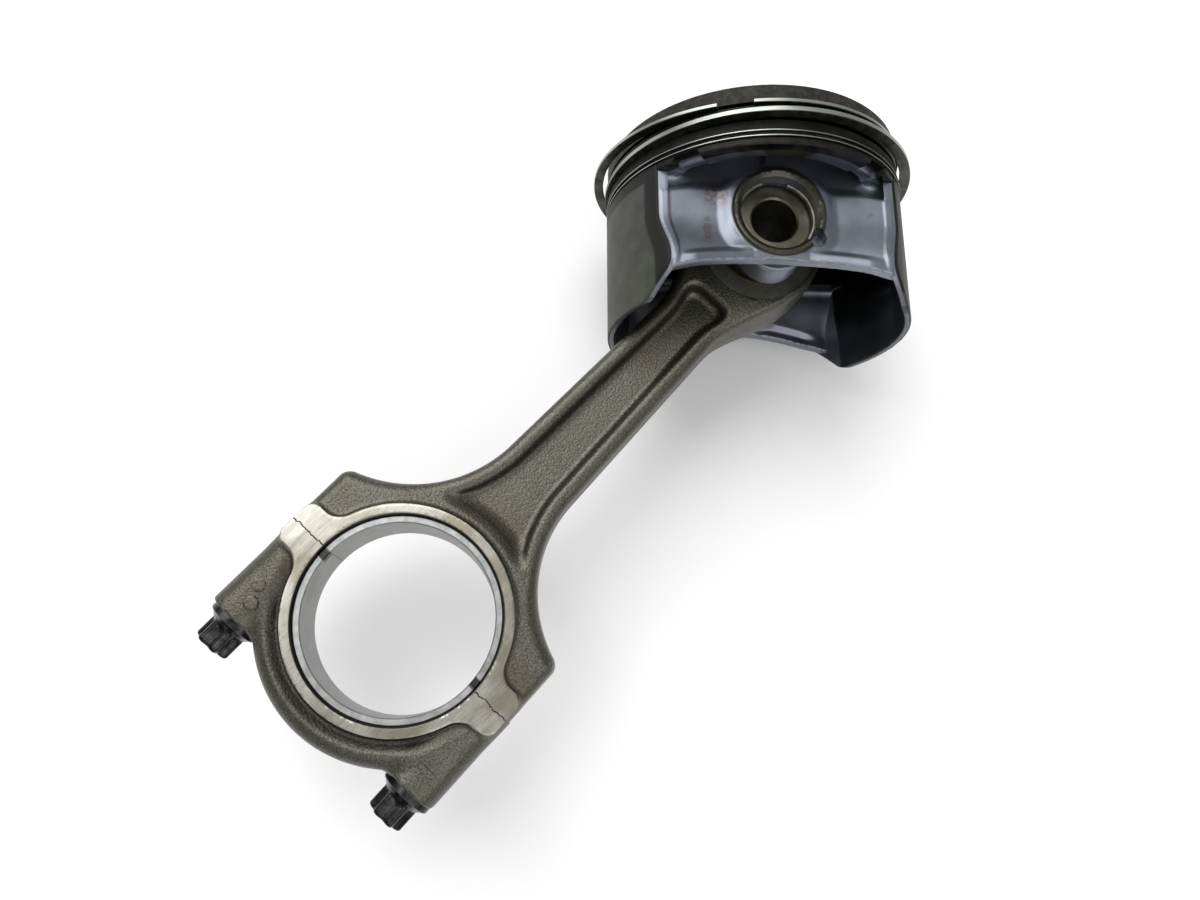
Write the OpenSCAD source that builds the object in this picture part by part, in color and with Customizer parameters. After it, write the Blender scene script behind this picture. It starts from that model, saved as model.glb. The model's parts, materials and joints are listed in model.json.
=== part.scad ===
// Piston with its connecting rod, as taken out of a passenger-car petrol engine.
// Origin: centre of the crankpin bore. +X runs along the rod to the wrist pin,
// +Z runs along the crankpin bore. The piston is swung to one side on its pin.

/* [Main sizes] */
// Diameter of the cylinder that the piston runs in
bore_d = 90; // [90:0.5:91]
// Distance from the crankpin centre to the wrist pin centre
rod_length = 150; // [149:0.5:152]
// Swing of the piston away from the rod's line
swing = 42.5; // [30:0.5:43]

/* [Piston] */
// Height of the crown's edge above the pin centre
crown_z = 30; // [30:0.5:31]
// Depth of the skirt below the pin centre
skirt_depth = 26.4; // [25.5:0.1:26.6]
// Thickness of the skirt
skirt_wall = 2.6; // [2.4:0.1:2.8]
// Thickness of the walls beside the pin
side_wall = 3.6; // [3.2:0.1:4]
// Radius of the pin bosses
boss_r = 15.5; // [15:0.1:16]
// Radius of the machined rim round the pin bore
boss_rim_r = 13.2; // [12.8:0.1:13.6]
// Distance from the middle to the outer end of a pin boss
boss_out = 30.5; // [30:0.1:31]
// Distance from the middle to the inner end of a pin boss
boss_in = 10.5; // [10.4:0.1:11]

/* [Rings] */
// Outside radius of the compression rings when free
ring_r = 46.7; // [46.5:0.1:46.8]
// Width of the compression rings across their section
ring_t = 3.1; // [3:0.05:3.15]
// Free gap of the compression rings
ring_gap = 10.7; // [9:0.1:13]
// How far the compression rings lie above the middle of the piston
ring_lift = 2.1; // [2:0.05:2.15]

/* [Wrist pin] */
// Radius of the wrist pin
pin_r = 11; // [10.9:0.05:11]
// Radius of the hole in the wrist pin
pin_hole_r = 6.6; // [6:0.1:7]
// Half the length of the wrist pin
pin_half = 25; // [24.5:0.1:25.1]
// Radius of the circlip's wire
clip_wire_r = 0.78; // [0.7:0.01:0.8]

/* [Connecting rod] */
// Radius of the bearing shells' running surface
crank_r = 25; // [24.9:0.05:25.1]
// Wall of the bearing shells
shell_t = 2; // [1.8:0.1:2.1]
// Half the width of the bearing shells
shell_half = 9.5; // [9:0.1:10]
// Half the width of the machined big end faces
big_half = 11; // [10.6:0.1:11.4]
// Half the thickness of the forged beam
beam_half = 8.4; // [8:0.1:9]
// Half the thickness of the web between the beam's flanges
web_half = 3.8; // [3:0.1:4.4]
// Half the width of the beam at the big end
beam_big = 12; // [11.5:0.1:12.5]
// Half the width of the beam at the small end
beam_small = 10.6; // [10.2:0.1:10.8]
// Outside radius of the small end
small_r = 16.5; // [16:0.1:17]
// Distance from the rod's line to a rod bolt
bolt_y = 31.8; // [31.6:0.1:32.4]
// Radius of the rod bolts
bolt_r = 4; // [3.8:0.05:4]

/* [Hidden] */
$fn = 96;
eps = 0.01;
big = 200;

// piston
land_r = bore_d / 2 - 0.3;
top_land_r = land_r - 0.2;
skirt_r = bore_d / 2 - 0.05;
belt_z = 11.7;
belt_inner_r = 37.5;
crown_under = 23.5;
groove_r = 40.3;
// lower face and height of each ring groove
top_groove = [23.5, 1.2];
second_groove = [18.9, 1.5];
oil_groove = [13.7, 2];
drain_count = 8;
drain_r = 1.1;
wall_out = 27.5;
wall_in = wall_out - side_wall;
upper_wall_out = 23.6;
upper_wall_in = 20;
pin_play = 0.02;

// rings
side_play = 0.04;
top_ring_shift = -2.4;
second_ring_shift = 1.0;
rail_r = 45;
rail_t = 2.5;
rail_h = 0.38;
rail_gap = 1.2;
rail_lift = 0.4;
oil_play = 0.03;
expander_r = 44.2;
expander_t = 2.6;
expander_h = 1.12;
window_count = 30;

// circlips
clip_y = 26.2;
clip_groove_r = pin_r + 0.9;
clip_r = clip_groove_r - 0.04 - clip_wire_r;
clip_gap = 40;

// rod
house_r = crank_r + shell_t;
ring_face_r = 30;
cap_r = 38.2;
cap_half = 9.2;
block_half = 10;
shoulder_y = 39.5;
shoulder_x = 20;
seat_x = 28.5;
seat_y = 24.5;
lug_half = 6.5;
lug_y = 39;
bush_t = 1.5;
small_half_low = 9.8;
small_half_far = 7.8;
neck = [55, 37];
bolt_play = 0.05;

function arc(c, r, a0, a1, n = 16) = [for (i = [0 : n]) c + r * [cos(a0 + (a1 - a0) * i / n),
    sin(a0 + (a1 - a0) * i / n)]];
function flip(p) = [for (i = [len(p) - 1 : -1 : 0]) [p[i].x, -p[i].y]];

// ---- places ----

// children drawn with the pin along Y and the crown up, put on the rod
module in_piston() {
    translate([rod_length, 0, 0]) rotate([0, 0, swing - 90]) rotate([-90, 0, 0]) children();
}

// a ring lying in its groove, shifted sideways and lifted off the low side
module in_groove(z, shift, lift) {
    in_piston() translate([shift, -lift, z]) children();
}

module both_sides() {
    children();
    mirror([0, 1, 0]) children();
}

// a solid of revolution about the pin's line, between two distances from the middle
module along_pin(r, y0, y1) {
    translate([0, y0, 0]) rotate([-90, 0, 0]) cylinder(r = r, h = y1 - y0);
}

// ---- piston ----

module belt_and_crown() {
    rotate_extrude() polygon([
        [0, crown_z], [top_land_r - 0.5, crown_z], [top_land_r, crown_z - 0.5],
        [top_land_r, top_groove[0] + top_groove[1]], [groove_r, top_groove[0] + top_groove[1]],
        [groove_r, top_groove[0]], [land_r, top_groove[0]],
        [land_r, second_groove[0] + second_groove[1]], [groove_r, second_groove[0] + second_groove[1]],
        [groove_r, second_groove[0]], [land_r, second_groove[0]],
        [land_r, oil_groove[0] + oil_groove[1]], [groove_r, oil_groove[0] + oil_groove[1]],
        [groove_r, oil_groove[0]], [land_r, oil_groove[0]],
        [land_r, belt_z], [land_r - 3.2, belt_z], [belt_inner_r, belt_z + 1.5],
        [belt_inner_r, crown_under - 2], [belt_inner_r - 2, crown_under], [0, crown_under]]);
}

// the outline of a skirt panel seen along the thrust direction
module skirt_outline() {
    corner_r = 8.5;
    edge = 31.5;
    half = concat([[28.6, belt_z + 1], [28.6, -2]],
        arc([edge - corner_r, corner_r - skirt_depth], corner_r, 8, -90, 10));
    polygon(concat(half, [for (i = [len(half) - 1 : -1 : 0]) [-half[i].x, half[i].y]]));
}

module skirts() {
    intersection() {
        rotate_extrude() polygon([
            [skirt_r - skirt_wall, belt_z + 1.2], [skirt_r - skirt_wall, 0.6 - skirt_depth],
            [skirt_r - skirt_wall + 0.6, -skirt_depth], [skirt_r - 0.6, -skirt_depth],
            [skirt_r, 0.6 - skirt_depth], [skirt_r, belt_z - 1.2], [land_r, belt_z + 1.2]]);
        translate([-big / 2, 0, 0]) rotate([90, 0, 90]) linear_extrude(big) skirt_outline();
    }
}

// the wall on one side of the pin: thick and low outside, set in above the shoulder
module side_wall_half() {
    intersection() {
        union() {
            translate([0, wall_out, 0]) rotate([90, 0, 0]) linear_extrude(side_wall) polygon(concat(
                [[-44, -22]], arc([0, -132.5], 118, 107, 73, 8),
                [[44, -22], [44, 7], [22, 7]],
                arc([0, 0], 18.5, 35, 145, 12), [[-22, 7], [-44, 7]]));
            translate([-44, upper_wall_in, 3]) cube([88, upper_wall_out - upper_wall_in, crown_under - 2]);
            translate([-12, boss_in, 8]) cube([24, upper_wall_out - boss_in, crown_under - 7]);
            translate([-3, upper_wall_in, 10]) cube([12, 9, crown_under - 9]);
        }
        union() {
            translate([0, 0, -big]) cylinder(r = skirt_r - 1.2, h = big + belt_z + 0.6);
            cylinder(r = belt_inner_r + 1, h = crown_under + 2);
        }
    }
}

module valve_pockets() {
    for (s = [-1, 1]) {
        translate([-17, s * 18, crown_z - 1.2]) cylinder(r = 15.5, h = 5);
        translate([18, s * 17, crown_z - 1]) cylinder(r = 13.5, h = 5);
    }
}

module piston_body() {
    color([0.5, 0.51, 0.56]) in_piston() difference() {
        union() {
            belt_and_crown();
            skirts();
            both_sides() side_wall_half();
            both_sides() along_pin(boss_r, boss_in, boss_out - 1.3);
            both_sides() along_pin(boss_rim_r, boss_in, boss_out);
        }
        along_pin(pin_r + pin_play, -big, big);
        both_sides() along_pin(clip_groove_r, clip_y - 0.9, clip_y + 0.9);
        // chamfer of the pin bore and the half-round notch for taking the circlip out
        both_sides() translate([0, boss_out - 0.8, 0]) rotate([-90, 0, 0])
            cylinder(r1 = pin_r + pin_play, r2 = pin_r + 1, h = 0.8 + eps);
        both_sides() rotate([0, 32, 0]) translate([12.4, clip_y, 0]) rotate([-90, 0, 0])
            cylinder(r = 2.1, h = 10);
        for (i = [0 : drain_count - 1]) rotate([0, 0, (i + 0.5) * 360 / drain_count])
            translate([belt_inner_r - 2, 0, oil_groove[0] + oil_groove[1] / 2]) rotate([0, 90, 0])
                cylinder(r = drain_r, h = 8);
        translate([0, 0, crown_z - 1.8]) cylinder(r = 30, h = 5);
        valve_pockets();
    }
}

// ---- rings ----

module split_ring(r, t, h, gap, turn) {
    rotate([0, 0, turn]) difference() {
        cylinder(r = r, h = h);
        translate([0, 0, -1]) cylinder(r = r - t, h = h + 2);
        translate([r - t - 2, -gap / 2, -1]) cube([t + 6, gap, h + 2]);
    }
}

module top_ring() {
    color([0.66, 0.68, 0.63]) in_groove(top_groove[0] + side_play, top_ring_shift, ring_lift)
        split_ring(ring_r, ring_t, top_groove[1] - 2 * side_play, ring_gap, -107);
}

module second_ring() {
    color([0.55, 0.56, 0.53]) in_groove(second_groove[0] + side_play, second_ring_shift, ring_lift)
        split_ring(ring_r, ring_t, second_groove[1] - 2 * side_play, ring_gap, 70);
}

module oil_rail(z, turn) {
    color([0.7, 0.71, 0.68]) in_groove(z, 0, rail_lift)
        split_ring(rail_r, rail_t, rail_h, rail_gap, turn);
}

module oil_ring_upper_rail() {
    oil_rail(oil_groove[0] + oil_groove[1] - oil_play - rail_h, 20);
}

module oil_ring_lower_rail() {
    oil_rail(oil_groove[0] + oil_play, 160);
}

module oil_ring_expander() {
    color([0.6, 0.61, 0.58]) in_groove(oil_groove[0] + 2 * oil_play + rail_h, 0, rail_lift) difference() {
        split_ring(expander_r, expander_t, expander_h, 0.6, 75);
        for (i = [0 : window_count - 1]) rotate([0, 0, i * 360 / window_count])
            translate([expander_r - 1.3, -2, 0.3]) cube([3, 4, expander_h - 0.6]);
    }
}

// ---- wrist pin ----

module wrist_pin() {
    bevel = 0.8;
    color([0.45, 0.45, 0.4]) in_piston() rotate([90, 0, 0]) rotate_extrude() polygon([
        [pin_hole_r, bevel - pin_half], [pin_hole_r + bevel, -pin_half], [pin_r - bevel, -pin_half],
        [pin_r, bevel - pin_half], [pin_r, pin_half - bevel], [pin_r - bevel, pin_half],
        [pin_hole_r + bevel, pin_half], [pin_hole_r, pin_half - bevel]]);
}

// an open wire ring whose gap faces the crown
module circlip(side) {
    color([0.5, 0.49, 0.44]) in_piston() translate([0, side * clip_y, 0]) rotate([90, 0, 0])
        rotate([0, 0, 90 + clip_gap / 2]) rotate_extrude(angle = 360 - clip_gap)
            translate([clip_r, 0]) circle(r = clip_wire_r, $fn = 24);
}

module circlip_front() {
    circlip(-1);
}

module circlip_rear() {
    circlip(1);
}

// ---- connecting rod ----

// the forged outline of the rod from the joint to the small end
module rod_outline() {
    flare_r = 25;
    flare_y = beam_small + flare_r;
    flare_x = rod_length - sqrt(pow(small_r + flare_r, 2) - pow(flare_y, 2));
    flare_end = 360 - atan2(flare_y, rod_length - flare_x);
    half = concat([[0, shoulder_y], [shoulder_x - 4, shoulder_y]],
        arc([shoulder_x - 4, shoulder_y - 4], 4, 90, 15, 5),
        arc([neck[0], beam_big + neck[1]], neck[1], 200, 270, 16),
        arc([flare_x, flare_y], flare_r, 270, flare_end, 8), [[rod_length, small_r]]);
    polygon(concat(half, flip(half)));
}

// the pocket between the beam's flanges, the same on both faces
module beam_pocket() {
    near_r = 35;
    far_x = rod_length - 22.5;
    half = concat(arc([0, 0], near_r, 0, 17, 4), arc([near_r + 2.5, 10.2], 2.6, 140, 60, 4),
        [[64, 7], [far_x - 14, 6.4]], arc([far_x - 5, 1.6], 5, 80, 0, 5));
    polygon(concat(half, flip(half)));
}

module big_end_face() {
    translate([0, 0, -big_half]) cylinder(r = ring_face_r, h = 2 * big_half);
    translate([-lug_half, -lug_y, -big_half]) cube([2 * lug_half, 2 * lug_y, 2 * big_half]);
}

// keeps what lies on one side of the joint: 1 the rod, -1 the cap
module joint_side(side) {
    intersection() {
        children();
        translate([side > 0 ? 0 : -big, -big / 2, -big / 2]) cube([big, big, big]);
    }
}

// space between the tapered faces of the small end
module small_end_taper() {
    x0 = -20;
    x1 = 20;
    translate([rod_length, big / 2, 0]) rotate([90, 0, 0]) linear_extrude(big) polygon([
        [x0, -small_half_low], [x1, -small_half_far], [x1, small_half_far], [x0, small_half_low]]);
}

module bolt_holes() {
    for (s = [-1, 1]) translate([-big / 2, s * bolt_y, 0]) rotate([0, 90, 0])
        cylinder(r = bolt_r + bolt_play, h = big / 2 + 17);
}

module tang_notch(side) {
    translate([side > 0 ? -eps : -3.2, side * (house_r - 1) - (side > 0 ? 0 : 2.1), 4.4])
        cube([3.2 + eps, 2.1, 4.2]);
}

module connecting_rod() {
    color([0.3, 0.28, 0.25]) difference() {
        union() {
            translate([0, 0, -beam_half]) linear_extrude(2 * beam_half) rod_outline();
            joint_side(1) big_end_face();
            for (s = [-1, 1]) translate([0, s > 0 ? seat_y : -shoulder_y, -block_half])
                cube([shoulder_x - 4, shoulder_y - seat_y, 2 * block_half]);
            intersection() {
                translate([rod_length, 0, -big_half]) cylinder(r = small_r, h = 2 * big_half);
                small_end_taper();
            }
        }
        for (s = [-1, 1]) translate([0, 0, s * (web_half + 10) - 10]) linear_extrude(20) beam_pocket();
        translate([0, 0, -big / 2]) cylinder(r = house_r, h = big);
        translate([rod_length, 0, -big / 2]) cylinder(r = pin_r + pin_play + bush_t, h = big);
        bolt_holes();
        tang_notch(1);
    }
}

module bearing_cap() {
    color([0.3, 0.28, 0.25]) difference() {
        joint_side(-1) union() {
            big_end_face();
            translate([0, 0, -cap_half]) cylinder(r = cap_r, h = 2 * cap_half);
            for (s = [-1, 1]) translate([-seat_x, s > 0 ? seat_y : -shoulder_y, -block_half])
                cube([seat_x, shoulder_y - seat_y, 2 * block_half]);
        }
        translate([0, 0, -big / 2]) cylinder(r = house_r, h = big);
        bolt_holes();
        // room beside each bolt's flange
        for (s = [-1, 1]) translate([-seat_x, s * bolt_y, 0]) rotate([0, -90, 0]) cylinder(r = 7.7, h = 15);
        tang_notch(-1);
    }
}

module bearing_shell(side) {
    color([0.6, 0.61, 0.62]) joint_side(side) {
        difference() {
            translate([0, 0, -shell_half]) cylinder(r = house_r, h = 2 * shell_half);
            translate([0, 0, -big / 2]) cylinder(r = crank_r, h = big);
        }
        translate([side > 0 ? 0 : -3, side * (house_r - 1) - (side > 0 ? 0 : 2), 4.5]) cube([3, 2, 4]);
    }
}

module bearing_shell_rod() {
    bearing_shell(1);
}

module bearing_shell_cap() {
    bearing_shell(-1);
}

module small_end_bush() {
    color([0.62, 0.5, 0.32]) intersection() {
        translate([rod_length, 0, -big_half]) difference() {
            cylinder(r = pin_r + pin_play + bush_t, h = 2 * big_half);
            translate([0, 0, -1]) cylinder(r = pin_r + pin_play, h = 2 * big_half + 2);
        }
        small_end_taper();
    }
}

// a flanged bolt with a twelve-point head
module rod_bolt(side) {
    head_r = 5.3;
    head_h = 7.8;
    flange_r = 7.3;
    flange_h = 2.2;
    color([0.18, 0.18, 0.17]) translate([-seat_x, side * bolt_y, 0]) {
        rotate([0, 90, 0]) cylinder(r = bolt_r, h = seat_x + 15);
        rotate([0, -90, 0]) {
            cylinder(r = flange_r, h = flange_h);
            for (a = [0, 30]) rotate([0, 0, a]) cylinder(r = head_r, h = flange_h + head_h, $fn = 6);
        }
    }
}

module rod_bolt_left() {
    rod_bolt(1);
}

module rod_bolt_right() {
    rod_bolt(-1);
}

piston_body();
top_ring();
second_ring();
oil_ring_upper_rail();
oil_ring_expander();
oil_ring_lower_rail();
wrist_pin();
circlip_front();
circlip_rear();
connecting_rod();
bearing_cap();
bearing_shell_rod();
bearing_shell_cap();
small_end_bush();
rod_bolt_left();
rod_bolt_right();
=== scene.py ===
import json
import math

import bmesh
import bpy
import numpy as np
from mathutils import Matrix, Vector


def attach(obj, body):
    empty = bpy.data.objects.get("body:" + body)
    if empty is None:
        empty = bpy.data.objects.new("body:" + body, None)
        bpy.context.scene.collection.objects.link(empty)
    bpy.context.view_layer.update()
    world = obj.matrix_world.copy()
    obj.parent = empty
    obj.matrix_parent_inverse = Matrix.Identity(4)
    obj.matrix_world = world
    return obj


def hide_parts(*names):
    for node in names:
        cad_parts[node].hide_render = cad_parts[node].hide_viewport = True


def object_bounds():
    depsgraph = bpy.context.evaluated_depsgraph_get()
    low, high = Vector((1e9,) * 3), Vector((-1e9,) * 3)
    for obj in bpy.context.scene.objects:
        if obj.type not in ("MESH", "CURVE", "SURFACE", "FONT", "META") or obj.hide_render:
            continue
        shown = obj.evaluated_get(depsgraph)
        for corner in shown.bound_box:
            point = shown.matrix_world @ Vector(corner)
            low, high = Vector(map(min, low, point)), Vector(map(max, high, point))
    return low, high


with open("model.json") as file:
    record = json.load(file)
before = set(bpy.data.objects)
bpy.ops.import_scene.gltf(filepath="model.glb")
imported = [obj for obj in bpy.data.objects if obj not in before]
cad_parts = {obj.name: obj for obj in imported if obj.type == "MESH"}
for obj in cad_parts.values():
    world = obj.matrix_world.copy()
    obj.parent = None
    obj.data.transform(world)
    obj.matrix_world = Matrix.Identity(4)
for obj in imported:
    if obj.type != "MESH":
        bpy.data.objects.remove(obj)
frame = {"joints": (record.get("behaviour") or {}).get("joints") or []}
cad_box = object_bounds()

# Shapes are worked out in millimetres and put into the scene in metres.
MM = 0.001

# ---- places taken from the frame ----

joints = {joint["name"]: joint for joint in frame["joints"]}
pin_centre = Vector(joints["piston_swing"]["pos_m"]) / MM
crown_way = Vector(joints["top_ring_turn"]["axis"]).normalized()
bore_way = Vector((0, 0, 1))
thrust_way = crown_way.cross(bore_way).normalized()
# columns: across the skirts, along the pin away from the front, towards the crown
piston_turn = np.array(Matrix((thrust_way, -bore_way, crown_way)).transposed())
rod_length = pin_centre.x


def to_piston(points):
    """Points in the piston's own axes, put where the piston lies on the rod."""
    return points @ piston_turn.T + np.array(pin_centre)


def ring_centre(joint):
    """Where a ring's middle lies, across the piston and along the pin."""
    offset = Vector(joints[joint]["pos_m"]) / MM - pin_centre
    return offset.dot(thrust_way), -offset.dot(bore_way)


# ---- sizes, in millimetres ----

CRANK_R, HOUSING_R, RING_FACE_R, CAP_R = 25.0, 27.0, 30.0, 38.2
BIG_HALF, SHELL_HALF, BEAM_HALF, WEB_HALF = 11.0, 9.5, 8.4, 3.8
SHOULDER_Y, BOLT_Y, SEAT_X, BOLT_END_X = 39.5, 31.8, 28.5, 17.0
SMALL_R, EYE_FACE_R, BUSH_R, PIN_R, PIN_HALF = 16.5, 17.6, 12.52, 11.0, 25.0
SKIRT_R, LAND_R, TOP_LAND_R, GROOVE_R = 44.95, 44.7, 44.5, 40.3
# the top groove's bottom lies deeper, to let the ring's drooping ends pass, and the belt's back behind it
TOP_GROOVE_R, BELT_BACK_R = 37.15, 36.8
CROWN_Z, BELT_Z, SKIRT_Z = 30.0, 11.7, -26.4
BOSS_R, BOSS_RIM_R, BOSS_OUT, BOSS_IN = 15.5, 13.2, 30.5, 10.5
CLIP_Y, CLIP_GROOVE_R = 26.2, 11.9
# the crown's dish, and the place and radius of its orientation pip
DISH_R, DISH_DEPTH, PIP_Y, PIP_R = 30.0, 1.8, 38.0, 1.3
# the circlip's removal notch: how far from the pin's middle, its angle below it, and its radius
NOTCH_OFF, NOTCH_DOWN, NOTCH_R = 12.8, math.radians(36), 2.6
# the small end's half width 20 mm below the pin, and how much narrower it gets for each mm upwards
SMALL_END_HALF, SMALL_END_TAPER = 9.8, 0.05
TOP_GROOVE, SECOND_GROOVE, OIL_GROOVE = (23.5, 24.7), (18.9, 20.4), (13.7, 15.7)
# the grid that shapes are sampled on
CELL = 0.42


# ---- distance fields ----

def fillet(a, b, r):
    """Union of two solids with a round of radius r in the corner between them."""
    return np.maximum(r, np.minimum(a, b)) - np.hypot(np.maximum(r - a, 0), np.maximum(r - b, 0))


def round_edge(a, b, r):
    """What two solids share, with their common edge rounded to radius r."""
    return np.minimum(-r, np.maximum(a, b)) + np.hypot(np.maximum(r + a, 0), np.maximum(r + b, 0))


def step(x, start, stop):
    """0 before start, 1 after stop, and a smooth rise between."""
    t = np.clip((x - start) / (stop - start), 0, 1)
    return t * t * (3 - 2 * t)


def crossings(values, axis):
    """The grid edges along one axis on which the field changes sign, by their lower corner."""
    low = [slice(None)] * 3
    high = [slice(None)] * 3
    low[axis], high[axis] = slice(None, -1), slice(1, None)
    return np.argwhere((values[tuple(low)] < 0) != (values[tuple(high)] < 0))


def slope(field, points):
    """The outward direction of a field's surface at some points."""
    reach = 0.02
    parts = []
    for axis in range(3):
        push = np.zeros(3)
        push[axis] = reach
        parts.append(field(*(points + push).T) - field(*(points - push).T))
    normals = np.stack(parts, axis=1)
    return normals / np.maximum(np.linalg.norm(normals, axis=1, keepdims=True), 1e-9)


def skin(field, low, high, cell=CELL):
    """Corners and quads of the surface where a field is zero, with machined edges kept sharp."""
    low = np.array(low, float)
    counts = np.ceil((np.array(high) - low) / cell).astype(int) + 1
    lines = [low[i] + cell * np.arange(counts[i]) for i in range(3)]
    values = np.empty(counts, np.float32)
    slab = 12
    for first in range(0, counts[0], slab):
        grid = np.meshgrid(lines[0][first:first + slab], lines[1], lines[2], indexing="ij")
        values[first:first + slab] = field(*grid)
    cells, spots, normals, quads = [], [], [], []
    strides = np.array([counts[1] * counts[2], counts[2], 1])
    for axis in range(3):
        edges = crossings(values, axis)
        unit = np.eye(3, dtype=int)
        starts = low + cell * edges
        here = values[tuple(edges.T)].astype(float)
        there = values[tuple((edges + unit[axis]).T)].astype(float)
        share = here / (here - there)
        lower, upper, low_value, high_value = np.zeros(len(edges)), np.ones(len(edges)), here, there
        for _ in range(3):
            value = field(*(starts + cell * share[:, None] * unit[axis]).T)
            same = (value < 0) == (low_value < 0)
            lower, low_value = np.where(same, share, lower), np.where(same, value, low_value)
            upper, high_value = np.where(same, upper, share), np.where(same, high_value, value)
            share = lower + (upper - lower) * low_value / (low_value - high_value + 1e-12)
            share = np.clip(share, lower + 0.02 * (upper - lower), upper - 0.02 * (upper - lower))
        points = starts + cell * share[:, None] * unit[axis]
        directions = slope(field, points)
        second, third = unit[(axis + 1) % 3], unit[(axis + 2) % 3]
        around = [edges - second - third, edges - third, edges, edges - second]
        keys = np.stack([corner @ strides for corner in around], axis=1)
        quads.append(np.where((here < 0)[:, None], keys, keys[:, ::-1]))
        for column in range(4):
            cells.append(keys[:, column])
            spots.append(points)
            normals.append(directions)
    cells, spots, normals = np.concatenate(cells), np.concatenate(spots), np.concatenate(normals)
    used, index = np.unique(cells, return_inverse=True)

    def total(weights):
        return np.bincount(index, weights, minlength=len(used))

    number = total(np.ones(len(index)))
    middle = np.stack([total(spots[:, i]) for i in range(3)], axis=1) / number[:, None]
    offset = ((spots - middle[index]) * normals).sum(axis=1)
    hold = 0.04
    matrix = np.empty((len(used), 3, 3))
    pull = np.empty((len(used), 3, 1))
    for i in range(3):
        pull[:, i, 0] = total(normals[:, i] * offset)
        for j in range(3):
            matrix[:, i, j] = total(normals[:, i] * normals[:, j]) + (hold * number if i == j else 0)
    move = np.linalg.solve(matrix, pull)[:, :, 0]
    corner = np.stack([used // strides[0], used % strides[0] // strides[1], used % strides[1]], axis=1)
    corner = low + cell * corner
    verts = np.clip(middle + move, corner - 0.1 * cell, corner + 1.1 * cell)
    lookup = np.searchsorted(used, np.concatenate(quads))
    return verts, lookup


# ---- turned and swept shapes ----

def turned(section, start=0.0, stop=360.0, steps=256):
    """A section of (radius, height) points swept round the Z axis; section may depend on the angle.

    A part turn is closed with flat ends."""
    whole = abs(stop - start) >= 359.99
    angles = np.radians(np.linspace(start, stop, steps + 1))
    if whole:
        angles = angles[:-1]
    rows = [np.array(section(angle) if callable(section) else section, float) for angle in angles]
    width = len(rows[0])
    verts = np.concatenate([np.stack([row[:, 0] * math.cos(a), row[:, 0] * math.sin(a), row[:, 1]], axis=1)
                            for a, row in zip(angles, rows)])
    turns = len(angles)
    faces = []
    for i in range(turns if whole else turns - 1):
        for j in range(width):
            a, b = i * width, (i + 1) % turns * width
            faces.append((a + j, b + j, b + (j + 1) % width, a + (j + 1) % width))
    if not whole:
        faces.append(tuple(range(width)))
        faces.append(tuple(range((turns - 1) * width, turns * width))[::-1])
    return verts, faces


def eased(section, size):
    """A section with each corner cut to a small bevel."""
    points = np.array(section, float)
    out = []
    for i, point in enumerate(points):
        for other in (points[i - 1], points[(i + 1) % len(points)]):
            way = other - point
            length = np.linalg.norm(way)
            out.append(point + way * min(size / length, 0.4))
    return out


def box_section(inner, outer, low, high, ease=0.12):
    """The rectangle of a ring's cross-section, with its corners eased."""
    return eased([(inner, low), (outer, low), (outer, high), (inner, high)], ease)


def joined(*parts):
    """Several closed shapes in one list of corners and faces."""
    verts, faces, count = [], [], 0
    for part_verts, part_faces in parts:
        verts.append(np.asarray(part_verts, float))
        faces += [tuple(int(i) + count for i in face) for face in part_faces]
        count += len(part_verts)
    return np.concatenate(verts), faces


def piece(name, body, nodes, shape, finish, sharp=32):
    """A visible piece in metres that rides on a body and stands for some CAD nodes."""
    verts, faces = shape
    mesh = bpy.data.meshes.new(name)
    mesh.from_pydata((np.asarray(verts) * MM).tolist(), [], [tuple(map(int, face)) for face in faces])
    mesh.update()
    tidy = bmesh.new()
    tidy.from_mesh(mesh)
    bmesh.ops.recalc_face_normals(tidy, faces=tidy.faces)
    tidy.to_mesh(mesh)
    tidy.free()
    mesh.shade_smooth()
    mesh.set_sharp_from_angle(angle=math.radians(sharp))
    mesh.materials.append(finish)
    made = bpy.data.objects.new(name, mesh)
    bpy.context.scene.collection.objects.link(made)
    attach(made, body)
    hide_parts(*nodes)
    return made


# ---- connecting rod and cap ----

NECK_X, NECK_R, BEAM_BIG, BEAM_SMALL = 55.0, 37.0, 12.0, 10.6
NECK_Y = BEAM_BIG + NECK_R
DRAFT = 0.08


def small_end_half(x):
    """Half the width of the small end, whose machined faces close up towards the crown."""
    return SMALL_END_HALF - (x - rod_length + 20) * SMALL_END_TAPER


def rod_outline(x, y, z):
    """Distance to the forging's outline, with the draft of its flanks."""
    wide, deep = np.abs(y), np.abs(z)
    lean = DRAFT * deep
    waist = BEAM_BIG + (BEAM_SMALL - BEAM_BIG) * (x - NECK_X) / 55
    shoulders = round_edge(wide - SHOULDER_Y + lean, NECK_R - np.hypot(x - NECK_X, wide - NECK_Y) + lean, 2.5)
    beam = np.maximum(wide - waist + lean, x - rod_length)
    flank = np.where(x < NECK_X, shoulders, beam)
    eye = np.hypot(x - rod_length, y) - SMALL_R + lean * 0.6
    return fillet(flank, eye, 20)


def bolt_holes(x, y, z):
    """What is cut away for the bolts' shanks."""
    return 4.05 - np.hypot(np.abs(y) - BOLT_Y, z)


def housing_bore(x, y, z):
    """The bore the shells lie in, with its edges chamfered."""
    return HOUSING_R + np.clip(np.abs(z) - BIG_HALF + 0.55, 0, 0.6) - np.hypot(x, y)


def machined_face(x, y, z):
    """The ring and the two lugs that are ground flat on each side of the big end."""
    ring = np.hypot(x, y) - RING_FACE_R
    lug = round_edge(np.abs(x) - 6.5, np.abs(y) - 38.3, 3)
    return round_edge(fillet(ring, lug, 4), np.abs(z) - BIG_HALF, 0.35)


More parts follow.
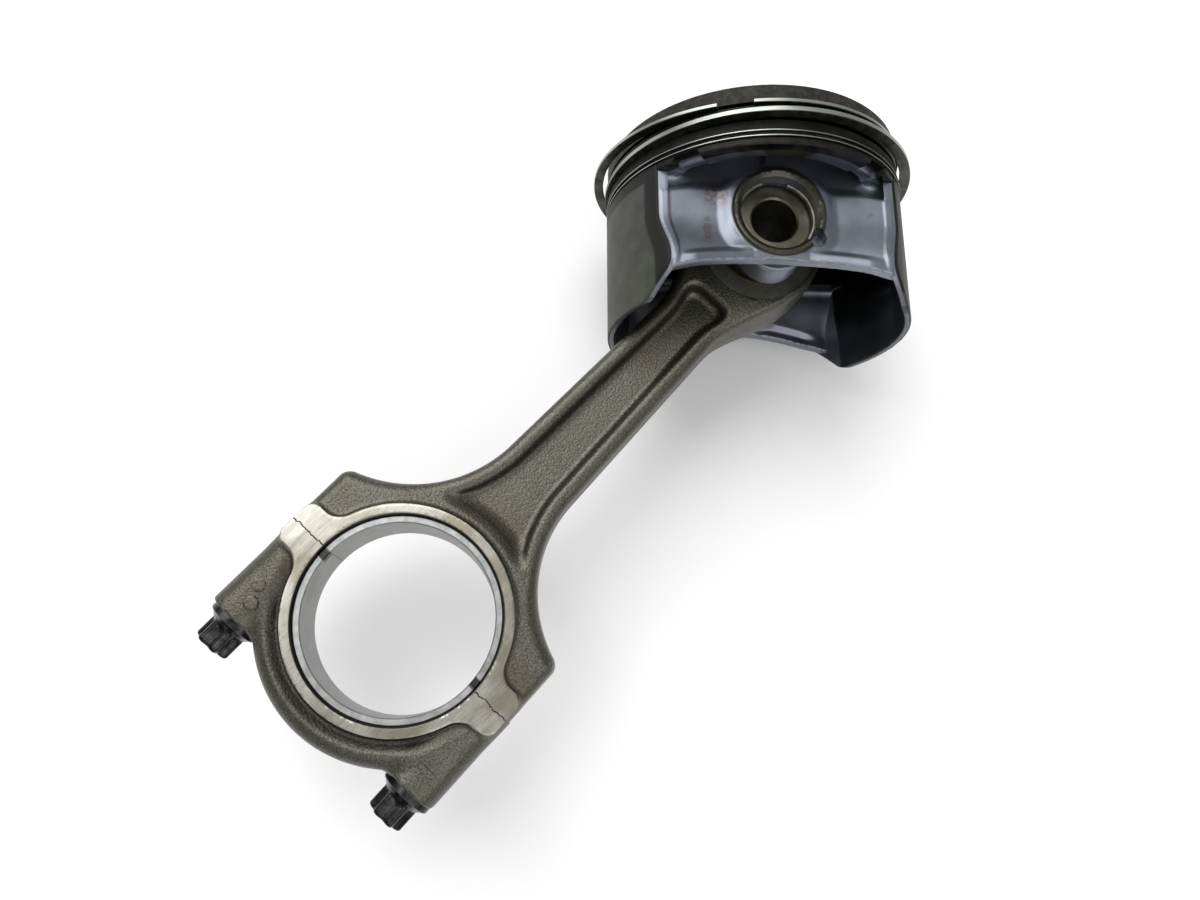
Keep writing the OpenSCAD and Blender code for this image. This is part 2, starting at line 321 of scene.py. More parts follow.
def rod_field(x, y, z):
    """The rod: beam with its two pockets, small end, and upper half of the big end."""
    deep = np.abs(z)
    outline = rod_outline(x, y, z)
    half = BEAM_HALF + 1.6 * step(-x, -34, -18) + 1.6 * step(x, 118, 140)
    body = round_edge(outline, deep - half, 2.4 + 1.0 * step(-x, -32, -18))
    slant = 0.22 * (half - deep)
    pocket = round_edge(outline + 4.3 + slant, 33.0 - np.hypot(x, y) + 1.1 * (half - deep), 3.5)
    pocket = round_edge(pocket, np.maximum(x - rod_length + 22.5, 28 - x), 5)
    pocket = round_edge(pocket, WEB_HALF + 1.4 * step(-x, -70, -36) - deep, 1.8)
    body = round_edge(body, -pocket, 1.5)
    body = fillet(body, machined_face(x, y, z), 1.6)
    body = np.maximum(body, -np.maximum(np.hypot(x - rod_length, y) - EYE_FACE_R, small_end_half(x) - deep))
    body = np.maximum(body, -x)
    body = np.maximum(body, housing_bore(x, y, z))
    body = np.maximum(body, BUSH_R - np.hypot(x - rod_length, y))
    return np.maximum(body, np.where(x > BOLT_END_X, -BOLT_END_X, bolt_holes(x, y, z)))


def cast_marks(x, y, z):
    """Plain raised marks on the ears of the cap: two pips on one side, a bar on the other."""
    proud = np.abs(z) - 10.75
    pips = np.minimum(np.hypot(x + 22.5, y - 30), np.hypot(x + 18, y - 32)) - 1.9
    bar = np.maximum(np.abs(x + 22) - 0.8, np.abs(y + 32) - 2.6)
    return round_edge(np.minimum(pips, bar), np.maximum(proud, 8 - np.abs(z)), 0.4)


def cap_field(x, y, z):
    """The cap: lower half of the big end with an ear for each bolt."""
    wide, deep = np.abs(y), np.abs(z)
    lean = DRAFT * deep
    radius = np.hypot(x, y)
    thinner = 1.6 * step(-radius, -34.5, -30.5)
    round_part = round_edge(radius - CAP_R + lean, deep - 9.2 + thinner, 4.2)
    ear = np.maximum(wide - SHOULDER_Y + lean, 24.5 - wide + lean)
    ear = round_edge(round_edge(ear, deep - 10, 5.5), -SEAT_X - x, 0.7)
    body = fillet(round_part, np.maximum(ear, x - 1), 3)
    body = fillet(body, machined_face(x, y, z), 1.6)
    body = np.minimum(body, cast_marks(x, y, z))
    body = np.maximum(body, x)
    body = np.maximum(body, housing_bore(x, y, z))
    body = np.maximum(body, -np.maximum(np.hypot(wide - BOLT_Y, z) - 7.7, x + SEAT_X))
    return np.maximum(body, bolt_holes(x, y, z))


# ---- piston ----

# the valves' pockets in the crown: place, radius and depth
VALVE_RELIEFS = ((-17, 18, 15.5, 1.2), (-17, -18, 15.5, 1.2), (18, 17, 13.5, 1.0), (18, -17, 13.5, 1.0))
# the slanted lower corner of a skirt, as a line: its slope sideways and upwards, and its distance
CORNER_WIDE, CORNER_UP, CORNER_OFF = 0.766, 0.643, 35.6


def skirt_edge(z):
    """How far from the middle the skirts' side edges lie, which is further below the pin."""
    return 28.6 + 2.9 * step(-z, 1, 15)


def skirt_panel(x, y, z):
    """The two skirt panels, rounded at their lower corners."""
    wide = np.abs(y)
    half = 1.35 - 0.45 * step(-z, 6, 20)
    thick = np.abs(np.hypot(x, y) - SKIRT_R + half) - half
    corner = CORNER_WIDE * wide - CORNER_UP * z - CORNER_OFF
    outline = round_edge(np.maximum(wide - skirt_edge(z), SKIRT_Z - z), corner, 1.4)
    outline = np.maximum(outline, 18 - np.abs(x))
    return np.maximum(round_edge(thick, outline, 0.4), z - BELT_Z - 1.5)


def casting_field(x, y, z):
    """The piston without its ring belt: skirts, side walls, pin bosses, ribs and crown."""
    wide = np.abs(y)
    radius = np.hypot(x, y)
    off_pin = np.hypot(x, z)
    skirt = skirt_panel(x, y, z)
    inside = radius - SKIRT_R + 1.3
    # the side wall's outer face, its arched lower edge and the lip along it
    belly = 27.4 + 1.0 * step(-z, 0, 14)
    belly = belly + (skirt_edge(z) - 0.05 - belly) * np.clip((np.abs(x) - 8) / 23, 0, 1)
    under = np.sqrt(np.maximum(118.0 ** 2 - x * x, 0)) - 132.5
    belly = belly + 1.1 * step(under + 4.6 - z, 0, 2.4) * step(-np.abs(x), -31, -24)
    low_wall = round_edge(np.abs(wide - belly + 1.8) - 1.8, under - z, 0.7)
    low_wall = round_edge(low_wall, z - 8.3 + 1.5 * step(np.abs(x), 24, 34), 2.2)
    high_wall = np.maximum(np.abs(wide - 22.6) - 2.2, 2 - z)
    walls = fillet(low_wall, np.maximum(high_wall, z - 26), 3.5)
    pad = round_edge(np.abs(x) - 14.7, np.abs(z - 0.5) - 11.5, 6)
    pad = np.maximum(round_edge(pad, wide - 29.2, 1.8), 20 - wide)
    inner_end = BOSS_IN + 5.5 * np.clip((8 - z) / 15, 0, 1)
    inner_boss = np.maximum(off_pin - BOSS_R + 3.3 * step(-z, 0, 8), wide - 26)
    inner_boss = round_edge(inner_boss, inner_end - wide, 1)
    nose = round_edge(np.hypot(x, z + 6.6) - 9, np.abs(wide - 20.2) - 4.7, 1)
    walls = np.maximum(fillet(walls, pad, 3), under - z - 0.02)
    walls = fillet(walls, fillet(inner_boss, nose, 2), 0.8)
    rim_round = np.maximum(round_edge(off_pin - BOSS_RIM_R, wide - BOSS_OUT, 0.4), 20 - wide)
    walls = fillet(walls, rim_round, 1)
    web = np.maximum(np.maximum(np.abs(x - 3) - 6, z - 26), np.maximum(np.abs(wide - 24) - 5, 6 - z))
    rib = np.maximum(np.maximum(np.abs(x) - 11, z - 26), np.maximum(wide - 22, BOSS_IN - wide))
    rib = np.maximum(rib, -z)
    walls = fillet(walls, np.minimum(web, rib), 3)
    # up in the belt everything draws back behind the top groove
    draw_in = step(z, 20.5, 23)
    walls = np.maximum(walls, np.where(z > BELT_Z + 0.5, radius - 39 + 4 * draw_in, inside))
    body = fillet(skirt, walls, 0.5)
    shell = round_edge(np.abs(radius - 39.2 + 3.9 * draw_in) - 1.7, BELT_Z + 0.7 - z, 1.2)
    roof = np.maximum(radius - 34.2, np.abs(z - 26.75) - 3.25)
    shell = fillet(np.maximum(shell, z - 26), roof, 3.5)
    body = fillet(body, shell, 2.0)
    rim = np.maximum(round_edge(radius - TOP_LAND_R, z - CROWN_Z, 0.5), TOP_GROOVE[1] - z)
    body = np.minimum(body, rim)
    dish = round_edge(radius - DISH_R, CROWN_Z - DISH_DEPTH - z, 1.2)
    body = round_edge(body, -dish, 0.5)
    for cx, cy, r, depth in VALVE_RELIEFS:
        body = np.maximum(body, -np.maximum(np.hypot(x - cx, y - cy) - r, CROWN_Z - depth - z))
    pip = np.hypot(np.hypot(x, y + PIP_Y), z - CROWN_Z) - PIP_R
    body = np.maximum(body, -pip)
    chamfer = np.clip((wide - BOSS_OUT + 0.8) / 0.8, 0, 1)
    body = np.maximum(body, PIN_R + 0.02 + chamfer - off_pin)
    body = np.maximum(body, -np.maximum(off_pin - CLIP_GROOVE_R, np.abs(wide - CLIP_Y) - 0.9))
    notch = np.hypot(x - NOTCH_OFF * math.cos(NOTCH_DOWN), z + NOTCH_OFF * math.sin(NOTCH_DOWN)) - NOTCH_R
    return np.maximum(body, -np.maximum(notch, CLIP_Y - wide))


def belt_section(angle):
    """The ring belt's section; its underside is notched beside the pin walls."""
    away = abs(math.degrees(angle)) % 180
    from_pin = abs(away - 90)
    lift = 1.85 * float(step(np.float64(-abs(from_pin - 38)), -5.4, -4.4))
    land, ease = LAND_R, 0.15
    points = [(BELT_BACK_R, BELT_Z + 3), (BELT_BACK_R, BELT_Z + 1.2 + lift * 0.5), (41.6, BELT_Z + lift),
              (land - 0.3, BELT_Z + lift), (land, BELT_Z + 0.3 + lift)]
    for low, high in (OIL_GROOVE, SECOND_GROOVE):
        points += [(land, low - ease), (land - ease, low), (GROOVE_R, low), (GROOVE_R, high),
                   (land - ease, high), (land, high + ease)]
    low, high = TOP_GROOVE
    points += [(land, low - ease), (land - ease, low), (TOP_GROOVE_R, low), (TOP_GROOVE_R, high + 0.3),
               (BELT_BACK_R, high + 0.3)]
    return points


# ---- shader maths ----

class Wire:
    """One output of a material's nodes; arithmetic on it adds Math nodes."""

    def __init__(self, finish, socket):
        self.finish = finish
        self.socket = socket

    def sum_node(self, operation, *values):
        return self.finish.node("ShaderNodeMath", {"operation": operation}, dict(enumerate(values)))

    def __add__(self, other):
        return self.sum_node("ADD", self, other)

    def __radd__(self, other):
        return self.sum_node("ADD", other, self)

    def __sub__(self, other):
        return self.sum_node("SUBTRACT", self, other)

    def __rsub__(self, other):
        return self.sum_node("SUBTRACT", other, self)

    def __mul__(self, other):
        return self.sum_node("MULTIPLY", self, other)

    def __rmul__(self, other):
        return self.sum_node("MULTIPLY", other, self)

    def __truediv__(self, other):
        return self.sum_node("DIVIDE", self, other)

    def __neg__(self):
        return self.sum_node("MULTIPLY", self, -1)

    def size(self):
        return self.sum_node("ABSOLUTE", self)

    def root(self):
        return self.sum_node("SQRT", self)

    def most(self, other):
        return self.sum_node("MAXIMUM", self, other)

    def between(self, start, stop):
        """0 below start, 1 above stop, smooth between; reversed if start is the larger."""
        return self.finish.node("ShaderNodeMapRange", {"interpolation_type": "SMOOTHSTEP"},
                                {"Value": self, "From Min": start, "From Max": stop})


class Finish:
    """A surface finish being built up out of nodes."""

    def __init__(self, name):
        self.material = bpy.data.materials.new(name)
        self.material.use_nodes = True
        self.tree = self.material.node_tree
        self.tree.nodes.clear()
        self.place = self.node("ShaderNodeVectorMath", {"operation": "SCALE"},
                               {0: self.node("ShaderNodeTexCoord", output="Object"), "Scale": 1 / MM})

    def node(self, kind, settings=None, inputs=None, output=0):
        """Makes a node: its settings first, then the values or wires of its sockets."""
        made = self.tree.nodes.new(kind)
        for key, value in (settings or {}).items():
            setattr(made, key, value)
        for key, value in (inputs or {}).items():
            socket = made.inputs[key]
            if isinstance(value, Wire):
                self.tree.links.new(value.socket, socket)
            elif isinstance(value, (tuple, list)) and len(value) == 3 and socket.type == "RGBA":
                socket.default_value = (*value, 1)
            else:
                socket.default_value = value
        return Wire(self, made.outputs[output]) if output is not None else None

    def axes(self, vector):
        """The three parts of a vector."""
        return [self.node("ShaderNodeSeparateXYZ", {}, {0: vector}, output=i) for i in range(3)]

    def point(self, x, y, z):
        return self.node("ShaderNodeCombineXYZ", {}, {0: x, 1: y, 2: z})

    def noise(self, grain, detail=3, roughness=0.55, where=None, twist=0.0):
        """Uneven 0 to 1 noise whose patches are about grain millimetres across."""
        return self.node("ShaderNodeTexNoise", {}, {
            "Vector": where or self.place, "Scale": 1 / grain, "Detail": detail, "Roughness": roughness,
            "Distortion": twist})

    def specks(self, grain):
        """Distance from the middles of scattered cells about grain millimetres across."""
        return self.node("ShaderNodeTexVoronoi", {}, {"Vector": self.place, "Scale": 1 / grain})

    def mix(self, share, first, second):
        """A colour between two colours."""
        return self.node("ShaderNodeMix", {"data_type": "RGBA"}, {0: share, 6: first, 7: second}, output=2)

    def along(self, way, start=(0, 0, 0)):
        """Millimetres along a direction from a point."""
        shifted = self.node("ShaderNodeVectorMath", {"operation": "SUBTRACT"},
                            {0: self.place, 1: tuple(start)})
        return self.dot(shifted, way)

    def dot(self, vector, way):
        """How much of a vector runs along a direction."""
        return self.node("ShaderNodeVectorMath", {"operation": "DOT_PRODUCT"}, {0: vector, 1: tuple(way)},
                         output="Value")

    def bump(self, height, strength=1.0, distance=0.05):
        """A normal from a height in millimetres times distance."""
        return self.node("ShaderNodeBump", {},
                         {"Height": height, "Strength": strength, "Distance": distance * MM})

    def done(self, **sockets):
        """Closes the finish with its shader."""
        names = {key.replace("_", " "): value for key, value in sockets.items()}
        shader = self.node("ShaderNodeBsdfPrincipled", {}, names, output="BSDF")
        self.node("ShaderNodeOutputMaterial", {}, {"Surface": shader}, output=None)
        return self.material


def span(a, b):
    """The length of the diagonal of two wires."""
    return (a * a + b * b).root()


def srgb(r, g, b):
    """A colour given in 0 to 255 steps, as the light values that shaders take."""
    return tuple(((c / 255 + 0.055) / 1.055) ** 2.4 if c > 10 else c / 3295 for c in (r, g, b))


# ---- finishes ----

def piston_axes(f):
    """Across the skirts, along the pin towards the front, and up to the crown, in millimetres."""
    return (f.along(thrust_way, pin_centre), f.along(bore_way, pin_centre), f.along(crown_way, pin_centre))


def forged_steel():
    f = Finish("forged_steel")
    x, y, z = f.axes(f.place)
    grain = f.noise(0.38, 4, 0.7)
    peen = f.specks(0.8)
    patches = f.noise(12, 3)
    colour = f.mix(grain.between(0.3, 0.75), srgb(52, 52, 47), srgb(116, 114, 104))
    colour = f.mix(patches.between(0.4, 0.7) * 0.5, colour, srgb(80, 74, 63))
    colour = f.mix(f.noise(0.33, 2).between(0.62, 0.74) * 0.35, colour, srgb(160, 158, 147))
    deep = z.size()
    from_crank = span(x, y)
    # painted shade in the crease round the ring face on the cap side, with darker grime
    crease_shade_and_grime = from_crank.between(RING_FACE_R + 5, RING_FACE_R + 0.5) * (-x).between(0, 12)
    colour = f.mix(crease_shade_and_grime * 0.6, colour, srgb(36, 33, 28))
    face = deep.between(BIG_HALF - 0.14, BIG_HALF - 0.04)
    from_eye = x - rod_length
    eye = span(from_eye, y).between(EYE_FACE_R, EYE_FACE_R - 0.3)
    taper = (deep - (SMALL_END_HALF - (from_eye + 20) * SMALL_END_TAPER)).between(-0.12, -0.02) * eye
    # painted shade, with oil, on the housing bore wall and its chamfers above the shells; the crack below is
    # the cap's real split line
    housing = from_crank.between(HOUSING_R + 0.3, HOUSING_R + 0.1)
    ground = face.most(taper)
    lines = f.noise(0.5, 3, 0.6, f.point(x * 0.12, y * 2.2, z))
    steel = f.mix(lines.between(0.3, 0.7), srgb(140, 139, 131), srgb(174, 172, 163))
    steel = f.mix(f.noise(14, 3).between(0.4, 0.65) * 0.75, steel, srgb(118, 112, 97))
    crack = (x + (f.noise(3.0, 5, 0.7, f.point(0, y, z)) - 0.5) * 3.2).size().between(0.2, 0.05)
    split_line_and_bore_shade = (crack * face).most(housing)
    colour = f.mix(ground, colour, steel)
    colour = f.mix(split_line_and_bore_shade, colour, srgb(24, 21, 18))
    height = grain * 0.6 + peen.between(0.1, 0.7) * 0.6
    height = height * (1 - ground) + lines * ground * 0.12 - split_line_and_bore_shade * 1.5
    rough = 0.4 - ground * 0.08 + (grain - 0.5) * 0.25
    return f.done(Base_Color=colour, Metallic=0.9, Roughness=rough, Normal=f.bump(height, 0.7, 0.1))


def bearing_metal():
    f = Finish("bearing_metal")
    x, y, z = f.axes(f.place)
    wipe = f.noise(0.8, 3, 0.6, f.point(x * 0.25, y * 0.25, z * 3))
    colour = f.mix(wipe.between(0.3, 0.7), srgb(134, 136, 134), srgb(166, 168, 166))
    colour = f.mix(f.noise(9, 3).between(0.5, 0.75) * 0.4, colour, srgb(120, 120, 116))
    # the split between the halves, and the tang's notch beside it at each end; the notch is not cut, only
    # painted dark as its shade
    round_the_bore = x * y / CRANK_R
    notch = (round_the_bore + 1.5).size().between(1.5, 1.2) * z.between(6.2, 6.6) * x.size().between(6, 4)
    colour = f.mix(notch.most(x.size().between(0.16, 0.06)) * 0.9, colour, srgb(22, 21, 19))
    return f.done(Base_Color=colour, Metallic=0.9, Roughness=0.34 + wipe * 0.12,
                  Normal=f.bump(wipe, 0.4, 0.02))


def black_oxide():
    f = Finish("black_oxide")
    wear = f.noise(2.5, 4, 0.65)
    colour = f.mix(wear.between(0.35, 0.75), srgb(30, 30, 30), srgb(66, 67, 66))
    return f.done(Base_Color=colour, Metallic=0.95, Roughness=0.2 + wear * 0.12,
                  Normal=f.bump(f.noise(0.6, 3), 0.4, 0.02))


def ring_steel(name, light, dark):
    """A ring ground bright on its outer face, and darker on its upper and lower faces."""
    f = Finish(name)
    across, along, up = piston_axes(f)
    brushed = f.noise(1.2, 3, 0.6, f.point(across * 0.12, along * 0.12, up * 6))
    colour = f.mix(brushed.between(0.3, 0.7), dark, light)
    tone = f.mix(f.noise(4, 4).between(0.3, 0.7), srgb(40, 39, 36), srgb(78, 78, 72))
    facing = f.node("ShaderNodeTexCoord", output="Normal")
    sideways = f.dot(facing, crown_way)
    colour = f.mix(sideways.size().between(0.75, 0.5), tone, colour)
    return f.done(Base_Color=colour, Metallic=0.9, Roughness=0.27 + brushed * 0.15,
                  Normal=f.bump(brushed, 0.3, 0.02))


def pin_steel():
    f = Finish("pin_steel")
    mottle = f.noise(5, 4, 0.6)
    dents = f.specks(2.6)
    colour = f.mix(mottle.between(0.3, 0.7), srgb(80, 78, 67), srgb(106, 103, 90))
    height = dents.between(0.0, 0.3) * 0.8 + f.noise(1, 3) * 0.25
    return f.done(Base_Color=colour, Metallic=0.9, Roughness=0.27 + mottle * 0.1,
                  Normal=f.bump(height, 0.4, 0.05))


def spring_wire():
    f = Finish("spring_wire")
    tone = f.noise(3, 3)
    colour = f.mix(tone.between(0.35, 0.7), srgb(84, 82, 72), srgb(130, 127, 114))
    return f.done(Base_Color=colour, Metallic=0.9, Roughness=0.3 + tone * 0.1)


def bronze():
    f = Finish("bronze")
    tone = f.noise(4, 4)
    colour = f.mix(tone.between(0.3, 0.7), srgb(66, 56, 42), srgb(92, 80, 60))
    return f.done(Base_Color=colour, Metallic=0.9, Roughness=0.32 + tone * 0.1,
                  Normal=f.bump(tone, 0.3, 0.02))


def cast_aluminium():
    f = Finish("cast_aluminium")
    across, along, up = piston_axes(f)
    radius = span(across, along)
    cloud = f.noise(13, 3, 0.5)
    pits = f.noise(1.3, 4, 0.6)
    cast = f.mix(cloud.between(0.3, 0.7), srgb(106, 110, 119), srgb(126, 131, 141))
    rust = f.noise(7, 5, 0.65, twist=0.4).between(0.62, 0.7) * f.noise(1.1, 3).between(0.35, 0.6)
    front = along.between(20, 24)
    splash = span(across + 18, up - 5).between(6, 1) * front
    streak = (across + 20.5).size().between(2.2, 0.4) * (up + 6).size().between(6, 3) * front
    speckle = f.noise(1.4, 5, 0.7).between(0.42, 0.56)
    rust = rust.most(splash.most(streak * 0.8) * speckle)
    cast = f.mix(rust * 0.7, cast, srgb(98, 68, 48))
    off_pin = span(across, up)
    # painted shade: the insides of the skirts and the underside of the crown and belt, away from the pin
    # bosses, painted near black
    inner = (44.4 - radius).between(0, 0.8) * (along.size() - 24.0).between(0.4, -0.4)
    inner = inner * off_pin.between(16.5, 18.5)
    cast = f.mix(inner * 0.95, cast, srgb(16, 16, 16))
    lip = across.size().between(30, 33.5) * radius.between(40, 42)
    cast = f.mix(lip * up.between(-13, -17) * 0.6, cast, srgb(58, 60, 66))
    rim = off_pin.between(14.2, 13.4) * (along.size() - 29.6).between(-0.3, 0.3)
    cast = f.mix(rim, cast, srgb(62, 60, 52))
    # painted shade inside the circlip's removal notch
    notch = span(across - NOTCH_OFF * math.cos(NOTCH_DOWN), up + NOTCH_OFF * math.sin(NOTCH_DOWN))
    notch = notch.between(NOTCH_R + 0.4, NOTCH_R - 0.2)
    cast = f.mix(notch * (along.size() - CLIP_Y).between(0, 0.5) * 0.9, cast, srgb(20, 20, 20))
    # machined outer skin: skirts, lands and the burnt top land
    outer = radius.between(TOP_LAND_R - 0.2, TOP_LAND_R - 0.1)
    lathe = f.noise(0.25, 2, 0.5, f.point(0, 0, up * 3))
    turned_metal = f.mix(lathe, srgb(18, 19, 17), srgb(28, 29, 26))
    coat = f.mix(f.noise(5, 4).between(0.3, 0.7), srgb(54, 56, 50), srgb(66, 68, 61))
    coat = f.mix(f.noise(0.6, 3).between(0.62, 0.8) * 0.3, coat, srgb(70, 72, 65))
    edge = along.size() - 25.0 - up.between(-1, -15) * 2.9
    panel = edge.between(0.5, -0.5) * (up - 9.5).between(0.3, -0.3)
    skirt = f.mix(panel, turned_metal, coat)
    # the lands painted near black: soot and oil, and painted shade between the protruding rings
    lands = up.between(BELT_Z - 0.35, BELT_Z - 0.1) * radius.between(41.0, 42.0)
    land_soot_and_shade = f.mix(f.noise(3, 4, 0.7).between(0.3, 0.75), srgb(10, 10, 10), srgb(34, 31, 28))
    crown = up.between(CROWN_Z - 4.5, CROWN_Z - 3.5) * radius.between(TOP_LAND_R - 0.3, TOP_LAND_R - 0.9)
    carbon = f.mix(f.noise(2.2, 5, 0.7).between(0.35, 0.7), srgb(34, 32, 30), srgb(60, 56, 52))
    baked = f.mix(f.noise(9, 5, 0.65).between(0.35, 0.7), srgb(66, 62, 56), srgb(96, 90, 80))
    baked = f.mix(radius.between(22, 40) * 0.5, baked, srgb(44, 42, 39))
    carbon = f.mix(crown, carbon, baked)
    top = up.between(TOP_GROOVE[1] - 0.1, TOP_GROOVE[1] + 0.1)
    colour = f.mix(outer, cast, skirt)
    colour = f.mix(lands, colour, land_soot_and_shade)
    colour = f.mix(top, colour, carbon)
    metal = 0.92 - outer * 0.78
    rough = 0.37 + cloud * 0.06 + outer * 0.15 + top * 0.1
    height = (pits * 0.35 + cloud * 0.8) * (1 - outer) + lathe * outer * 0.15 + f.noise(0.9, 5) * top * 0.8
    return f.done(Base_Color=colour, Metallic=metal, Roughness=rough,
                  Coat_Weight=0.35 * (1 - top) * (1 - outer), Coat_Roughness=0.12, IOR=1.3,
                  Normal=f.bump(height, 0.5, 0.1))


# ---- pieces on the rod ----

forged = forged_steel()
shell_metal = bearing_metal()
black = black_oxide()

piece("rod_forging", "rod", ["connecting_rod"],
      skin(rod_field, (-1.3, -41.3, -12.3), (168.3, 41.3, 12.3)), forged)
piece("cap_forging", "rod", ["bearing_cap"],
      skin(cap_field, (-39.6, -41.3, -12.3), (1.3, 41.3, 12.3)), forged)


def bearing_shell(name, node, start):
    """Half a plain bearing, eased at its edges."""
    section = box_section(CRANK_R, HOUSING_R - 0.01, -SHELL_HALF, SHELL_HALF, 0.3)
    return piece(name, "rod", [node], turned(section, start, start + 180, 128), shell_metal)


bearing_shell("rod_shell", "bearing_shell_rod", -90)
bearing_shell("cap_shell", "bearing_shell_cap", 90)


def bolt_head(angle):
    """Section of a flanged bolt head with six rounded lobes, whose flutes run out on the flange's cone."""
    star = 4.62 + 0.68 * math.cos(6 * angle)
    section = [(0.0, 0.0), (7.1, 0.0), (7.3, 0.2), (7.3, 2.0), (7.0, 2.3)]
    for height in np.linspace(2.5, 9.3, 18):
        section.append((max(star, 6.5 - 1.15 * (height - 2.5)), height))
    return section + [(star - 0.35, 9.75), (star - 0.9, 9.95), (2.4, 9.95), (1.9, 9.2), (0.0, 9.0)]


def rod_bolt(name, node, side):
    """A flanged six-lobed bolt whose shank runs up into the rod."""
    shank = [(0.0, -43.0), (3.4, -43.0), (4.0, -42.4), (4.0, 0.5), (0.0, 0.5)]
    verts, faces = joined(turned(bolt_head, steps=240), turned(shank, steps=48))
    placed = np.stack([-SEAT_X - verts[:, 2], side * BOLT_Y + verts[:, 0], verts[:, 1]], axis=1)
    return piece(name, "rod", [node], (placed, faces), black, sharp=40)


rod_bolt("bolt_left", "rod_bolt_left", 1)
rod_bolt("bolt_right", "rod_bolt_right", -1)


def bush_section(angle):
    half = small_end_half(rod_length + 12 * math.cos(angle))
    return box_section(PIN_R + 0.02, BUSH_R, -half, half, 0.3)


bush_verts, bush_faces = turned(bush_section, steps=128)
piece("small_end_lining", "rod", ["small_end_bush"],
      (bush_verts + np.array(pin_centre), bush_faces), bronze())

# ---- pieces on the piston ----

aluminium = cast_aluminium()
casting_verts, casting_faces = skin(casting_field, (-46.3, -46.3, -27.3), (46.3, 46.3, 31.3))
piece("piston_casting", "piston", ["piston_body"],
      (to_piston(casting_verts), casting_faces), aluminium)
belt_verts, belt_faces = turned(belt_section, steps=720)
piece("ring_belt", "piston", ["piston_body"],
      (to_piston(belt_verts), belt_faces), aluminium)


def circlip(name, node, side, finish):
    """An open wire ring in its groove, with flat ends and the gap towards the crown."""
    wire, middle, gap = 0.78, CLIP_GROOVE_R - 0.82, 40
    ring = [(middle + wire * math.cos(a), wire * math.sin(a)) for a in np.linspace(0, 2 * math.pi, 17)[:-1]]
    verts, faces = turned(ring, 90 + gap / 2, 450 - gap / 2, 96)
    placed = np.stack([verts[:, 0], side * CLIP_Y + verts[:, 2], verts[:, 1]], axis=1)
    return piece(name, "piston", [node], (to_piston(placed), faces), finish)


wire_finish = spring_wire()
circlip("clip_front", "circlip_front", -1, wire_finish)
circlip("clip_rear", "circlip_rear", 1, wire_finish)

# ---- wrist pin ----

pin_section = eased([(6.6, -PIN_HALF), (PIN_R, -PIN_HALF), (PIN_R, PIN_HALF), (6.6, PIN_HALF)], 0.5)
pin_verts, pin_faces = turned(pin_section, steps=160)
pin_verts = np.stack([pin_verts[:, 0], pin_verts[:, 2], pin_verts[:, 1]], axis=1)
piece("pin_tube", "pin", ["wrist_pin"], (to_piston(pin_verts), pin_faces), pin_steel())


# ---- rings ----

def piston_ring(name, body, node, joint, finish, inner, outer, low, high, gap, middle,
                ease=0.12, droop=0.0):
    """An open ring about its own joint, whose ends droop inwards; gap is in degrees and lies at middle."""
    def section(angle):
        from_gap = abs((math.degrees(angle) - middle + 180) % 360 - 180)
        inwards = droop * (1 - float(step(np.float64(from_gap), 0, 70)))
        return box_section(inner - inwards, outer - inwards, low, high, ease)

    verts, faces = turned(section, middle + gap / 2, middle + 360 - gap / 2, 320)
    verts = verts + np.array([*ring_centre(joint), 0])
    return piece(name, body, [node], (to_piston(verts), faces), finish)


LIGHT_STEEL, DARK_STEEL = srgb(172, 177, 169), srgb(134, 139, 132)
top_finish = ring_steel("top_ring_steel", LIGHT_STEEL, DARK_STEEL)
second_finish = ring_steel("second_ring_iron", LIGHT_STEEL, DARK_STEEL)
rail_finish = ring_steel("rail_steel", LIGHT_STEEL, DARK_STEEL)
expander_finish = ring_steel("expander_steel", srgb(100, 102, 94), srgb(60, 62, 57))
piston_ring("first_ring_band", "first_ring", "top_ring", "top_ring_turn", top_finish,
            43.9, 46.7, 23.54, 24.66, 13.2, -107, 0.15, 3.3)
piston_ring("scraper_band", "scraper_ring", "second_ring", "second_ring_turn", second_finish,
            43.6, 46.7, 18.94, 20.36, 13.2, 70)
piston_ring("upper_rail_band", "upper_rail", "oil_ring_upper_rail", "upper_rail_turn",
            rail_finish, 42.5, 45.0, 15.29, 15.67, 1.5, 20, 0.08)
piston_ring("lower_rail_band", "lower_rail", "oil_ring_lower_rail", "lower_rail_turn",
            rail_finish, 42.5, 45.0, 13.73, 14.11, 1.5, 160, 0.08)

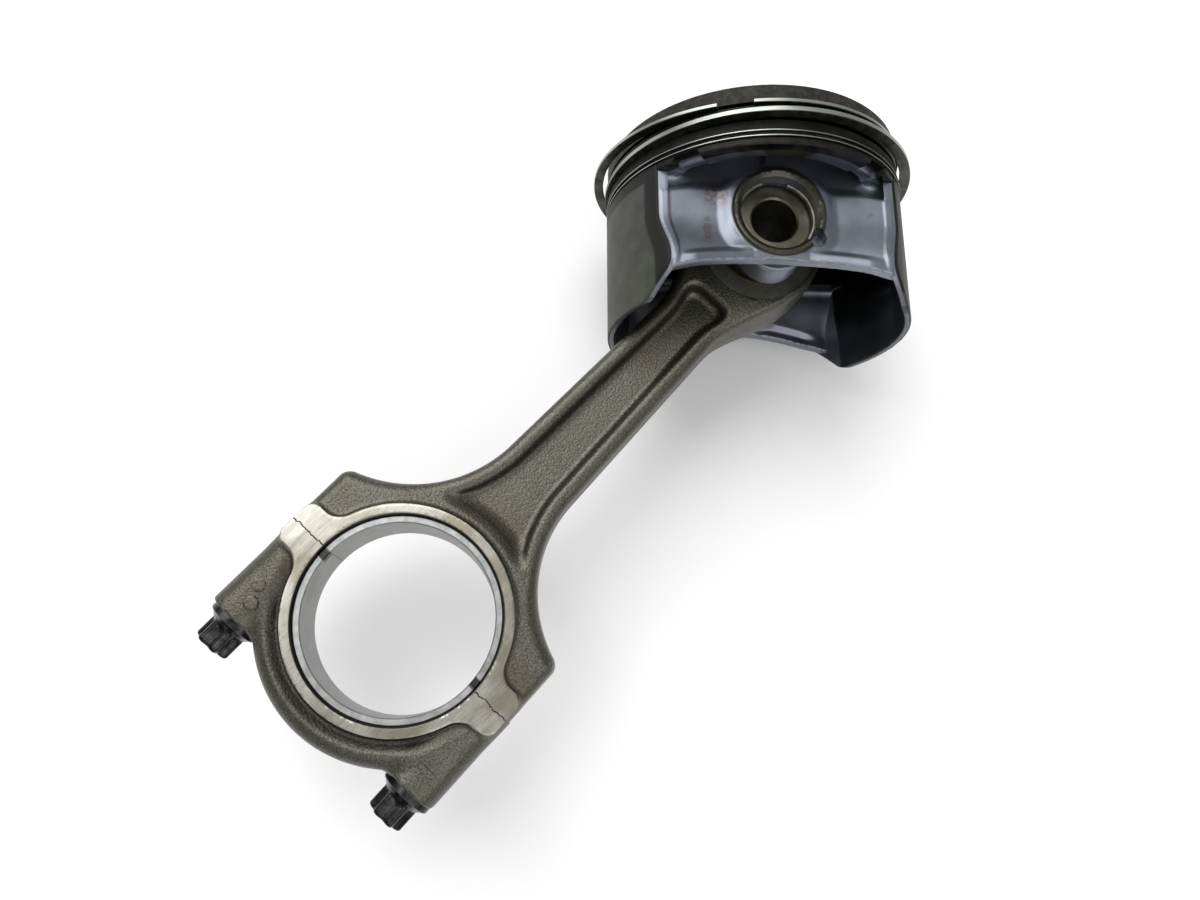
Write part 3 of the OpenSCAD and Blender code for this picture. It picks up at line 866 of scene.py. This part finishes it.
expander_parts = [turned(box_section(41.6, 44.2, low, low + 0.3, 0.05), 76, 434, 320)
                  for low in (14.14, 14.96)]
for tooth in range(60):
    middle = 78.5 + tooth * 6
    expander_parts.append(turned(box_section(41.8, 44.0, 14.3, 15.1, 0.05), middle - 1.2, middle + 1.2, 4))
expander_verts, expander_faces = joined(*expander_parts)
expander_verts = expander_verts + np.array([*ring_centre("expander_turn"), 0])
piece("expander_band", "expander", ["oil_ring_expander"],
      (to_piston(expander_verts), expander_faces), expander_finish)

# ---- floor, light and camera ----

floor_z = cad_box[0][2]


def paper():
    f = Finish("paper")
    return f.done(Base_Color=f.mix(f.noise(60, 2), srgb(246, 246, 246), srgb(250, 250, 250)),
                  Roughness=0.9)


floor_mesh = bpy.data.meshes.new("floor")
reach = 6.0
floor_mesh.from_pydata([(-reach, -reach, floor_z), (reach, -reach, floor_z), (reach, reach, floor_z),
                        (-reach, reach, floor_z)], [], [(0, 1, 2, 3)])
floor = bpy.data.objects.new("floor", floor_mesh)
floor_mesh.materials.append(paper())
bpy.context.scene.collection.objects.link(floor)

bpy.context.scene.view_settings.view_transform = "Standard"
world = bpy.data.worlds.new("studio")
bpy.context.scene.world = world
world.use_nodes = True
world.node_tree.nodes["Background"].inputs["Color"].default_value = (1, 1, 1, 1)
world.node_tree.nodes["Background"].inputs["Strength"].default_value = 0.45


def softbox(name, place, aim, size, power):
    """A square soft light that faces a point."""
    light = bpy.data.lights.new(name, "AREA")
    light.shape, light.size, light.energy = "SQUARE", size, power
    lamp = bpy.data.objects.new(name, light)
    lamp.location = place
    lamp.rotation_euler = (Vector(aim) - Vector(place)).to_track_quat("-Z", "Y").to_euler()
    bpy.context.scene.collection.objects.link(lamp)


middle = (0.08, 0.0, 0.0)
softbox("key", (0.28, 0.72, 1.05), middle, 1.2, 16)
softbox("fill", (-0.2, -0.65, 0.9), middle, 1.1, 5.5)

camera_data = bpy.data.cameras.new("camera")
camera_data.sensor_width = 36
camera_data.lens = 26.60
camera = bpy.data.objects.new("camera", camera_data)
right = Vector((0.66909, -0.73641, 0.10008)).normalized()
up = Vector((0.70167, 0.67035, 0.24145)).normalized()
back = right.cross(up).normalized()
up = back.cross(right)
camera.matrix_world = Matrix.Translation((0.009196, -0.030282, 0.247468)) @ Matrix(
    (right, up, back)).transposed().to_4x4()
bpy.context.scene.collection.objects.link(camera)
bpy.context.scene.camera = camera
